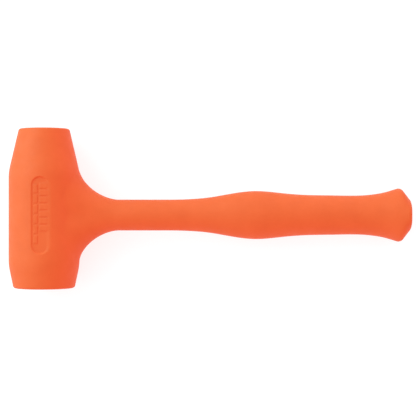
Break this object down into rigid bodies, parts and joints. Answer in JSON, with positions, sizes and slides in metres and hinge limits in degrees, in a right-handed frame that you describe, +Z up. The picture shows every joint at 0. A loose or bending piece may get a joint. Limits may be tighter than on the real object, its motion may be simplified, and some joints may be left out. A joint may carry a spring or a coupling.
{
  "type": "dead blow mallet",
  "caption": "One-piece cast urethane dead blow mallet with a small and a large round face, a shot-filled steel canister in the head and a rod-stiffened contoured handle.",
  "frame": {"origin": "on the bench, under the centre of the mallet's bounding box, with the mallet lying on its side", "axes": "+X along the handle from head to butt, +Y along the head from the large face to the small face, +Z up, out of the side with the panel; the handle slopes down to the butt by 1.89 degrees because barrel and butt both touch the bench"},
  "size_m": [0.335, 0.133, 0.0588],
  "materials": {
    "urethane": "matte",
    "canister_steel": "satin",
    "weld_steel": "matte",
    "rod_steel": "satin",
    "shot_steel": "satin"
  },
  "bodies": {
    "mallet": {"urethane_casting": "urethane", "canister_tube": "canister_steel", "canister_cap_small": "canister_steel", "canister_cap_large": "canister_steel", "cap_weld_small": "weld_steel", "cap_weld_large": "weld_steel", "rod_socket": "canister_steel", "rod_socket_weld": "weld_steel", "socket_cross_pin": "rod_steel", "handle_rod": "rod_steel", "grip_anchor_washer": "rod_steel", "butt_anchor_washer": "rod_steel"},
    "shot_charge": {"shot_layer_01": "shot_steel", "shot_layer_02": "shot_steel", "shot_layer_03": "shot_steel", "shot_layer_04": "shot_steel", "shot_layer_05": "shot_steel", "shot_layer_06": "shot_steel", "shot_layer_07": "shot_steel", "shot_layer_08": "shot_steel", "shot_layer_09": "shot_steel", "shot_layer_10": "shot_steel"}
  },
  "joints": [
    {"name": "shot_slide", "type": "slide", "parent": "mallet", "child": "shot_charge", "axis": [0, 1, 0], "range_m": [0, 0.0215]}
  ]
}
